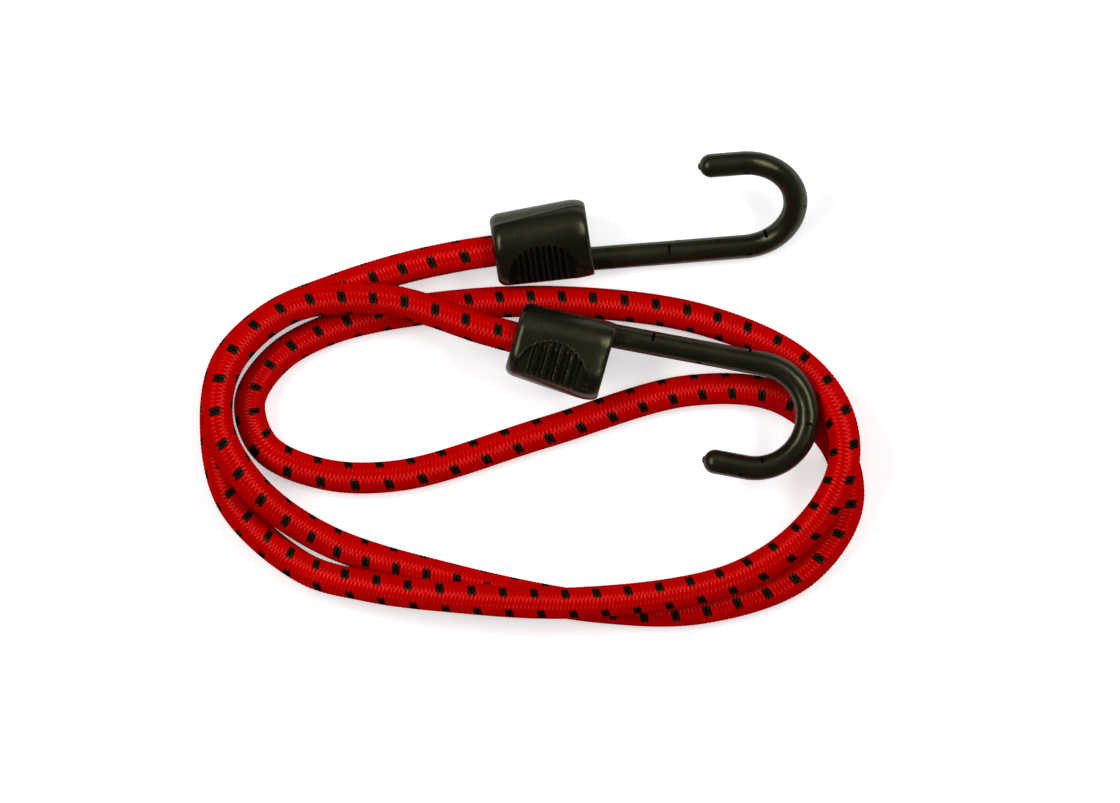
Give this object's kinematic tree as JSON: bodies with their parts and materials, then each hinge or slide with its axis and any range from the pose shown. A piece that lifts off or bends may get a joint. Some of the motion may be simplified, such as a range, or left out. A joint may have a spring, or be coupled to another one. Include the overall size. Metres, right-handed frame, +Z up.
{
  "type": "bungee cord",
  "caption": "Elastic bungee cord laid in loose loops, with a swivelling moulded plastic hook, stiffened by a steel wire, on each end.",
  "frame": {"origin": "on the surface that the cord lies on, under the middle of the box round the two hooks", "axes": "+Z up from the surface; +X from the hooks' mouths towards their bends; +Y away from the cord's loops"},
  "size_m": [0.1671, 0.1196, 0.0227],
  "materials": {
    "braided_sheath": "fine polyester braid, bright red with short black tracer dashes",
    "rubber_core": "plain natural rubber",
    "hook_plastic": "moulded, satin, black with an olive tint",
    "wire_steel": "drawn wire",
    "ring_steel": "drawn and zinc plated wire"
  },
  "bodies": {
    "cord": {"cord_sheath": "braided_sheath", "rubber_thread_1": "rubber_core", "rubber_thread_2": "rubber_core", "rubber_thread_3": "rubber_core", "rubber_thread_4": "rubber_core", "rubber_thread_5": "rubber_core", "rubber_thread_6": "rubber_core", "rubber_thread_7": "rubber_core", "rubber_thread_8": "rubber_core", "rubber_thread_9": "rubber_core", "crimp_ring_a": "ring_steel", "crimp_ring_b": "ring_steel"},
    "hook_a": {"hook_a_moulding": "hook_plastic", "hook_a_wire": "wire_steel"},
    "hook_b": {"hook_b_moulding": "hook_plastic", "hook_b_wire": "wire_steel"}
  },
  "joints": [
    {"name": "hook_a_swivel", "type": "hinge", "parent": "cord", "child": "hook_a", "pos_m": [-0.04043, 0.0164, 0.00958], "axis": [0.989, 0.1478, 0], "continuous": true},
    {"name": "hook_b_swivel", "type": "hinge", "parent": "cord", "child": "hook_b", "pos_m": [-0.03538, -0.00543, 0.0139], "axis": [0.9632, -0.2689, 0], "range_deg": [0, 40]}
  ]
}
